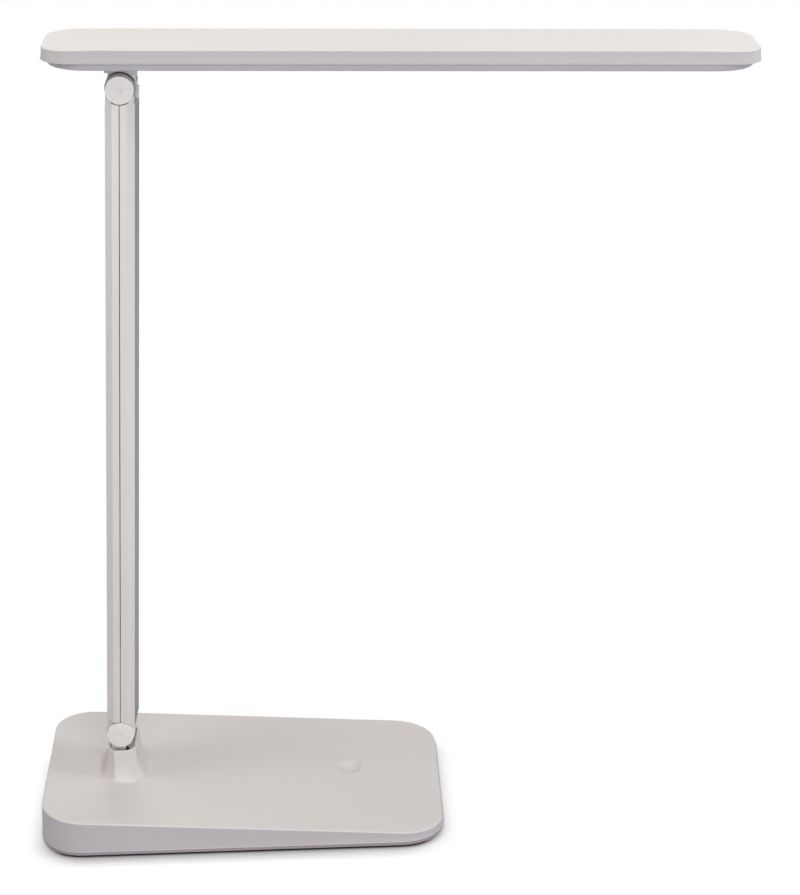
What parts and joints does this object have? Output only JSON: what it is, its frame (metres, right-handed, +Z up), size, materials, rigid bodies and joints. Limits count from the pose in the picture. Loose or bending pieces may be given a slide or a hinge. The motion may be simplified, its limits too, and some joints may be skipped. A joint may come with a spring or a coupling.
{
  "type": "folding led desk lamp",
  "caption": "Folding desk lamp: weighted wedge base with a touch dish, eight-sided arm and a long flat LED head, joined by two friction hinges.",
  "frame": {"origin": "On the desk, under the middle of the lamp's outline seen from above, in the posture of the picture.", "axes": "+X runs along the lamp head to its tip, +Y points to the back and lies along both hinge axes, +Z is up."},
  "size_m": [0.2832, 0.1, 0.3163],
  "materials": {
    "shell_grey": "fine satin moulded plastic in light silver grey",
    "cover_white": "satin moulded plastic in pale silver white",
    "cap_grey": "smooth satin plastic caps",
    "dark_plastic": "dark textured plastic of the bottom cover and the inlet",
    "foot_rubber": "soft matt rubber",
    "ballast_steel": "plain sheet steel",
    "bolt_steel": "zinc plated steel",
    "hinge_metal": "die-cast hinge blocks, satin",
    "washer_brass": "plain friction washers",
    "board_green": "circuit board laminate",
    "component_black": "electronic components",
    "lead_black": "two-core lead",
    "lead_red": "flat ribbon lead",
    "pad_foam": "conductive foam",
    "tray_grey": "satin moulded plastic in light silver grey",
    "diffuser_opal": "opal acrylic diffuser",
    "guide_clear": "clear acrylic light guide",
    "film_white": "white reflector film",
    "strip_white": "white LED circuit strip",
    "led_yellow": "phosphor-coated LEDs",
    "spreader_aluminium": "bent aluminium sheet"
  },
  "bodies": {
    "base": {"base_top_shell": "shell_grey", "base_bottom_cover": "dark_plastic", "base_screws": "bolt_steel", "rubber_feet": "foot_rubber", "ballast_plate": "ballast_steel", "driver_board": "board_green", "driver_components": "component_black", "driver_board_screws": "bolt_steel", "touch_board": "board_green", "touch_pad": "pad_foam", "touch_lead": "lead_red", "power_inlet": "dark_plastic", "base_lead": "lead_black", "lower_hinge_bolt": "bolt_steel", "lower_hinge_nut": "bolt_steel", "lower_friction_washers": "washer_brass", "lower_front_cap": "cap_grey", "lower_rear_cap": "cap_grey"},
    "arm": {"arm_left_shell": "shell_grey", "arm_right_shell": "shell_grey", "arm_lower_tongue": "hinge_metal", "arm_upper_fork": "hinge_metal", "arm_dowels": "bolt_steel", "arm_lead": "lead_black", "upper_hinge_bolt": "bolt_steel", "upper_hinge_nut": "bolt_steel", "upper_friction_washers": "washer_brass", "upper_front_cap": "cap_grey", "upper_rear_cap": "cap_grey"},
    "head": {"head_cover": "cover_white", "head_tray": "tray_grey", "head_bracket": "shell_grey", "bracket_screws": "bolt_steel", "diffuser": "diffuser_opal", "light_guide": "guide_clear", "reflector_film": "film_white", "led_strips": "strip_white", "leds": "led_yellow", "heat_spreader": "spreader_aluminium", "head_lead": "lead_black"}
  },
  "joints": [
    {"name": "arm_fold", "type": "hinge", "parent": "base", "child": "arm", "pos_m": [-0.11062, 0, 0.034], "axis": [0, 1, 0], "range_deg": [-33, 87]},
    {"name": "head_fold", "type": "hinge", "parent": "arm", "child": "head", "pos_m": [-0.09675, 0, 0.29864], "axis": [0, 1, 0], "range_deg": [-58.5, 91.5]}
  ]
}
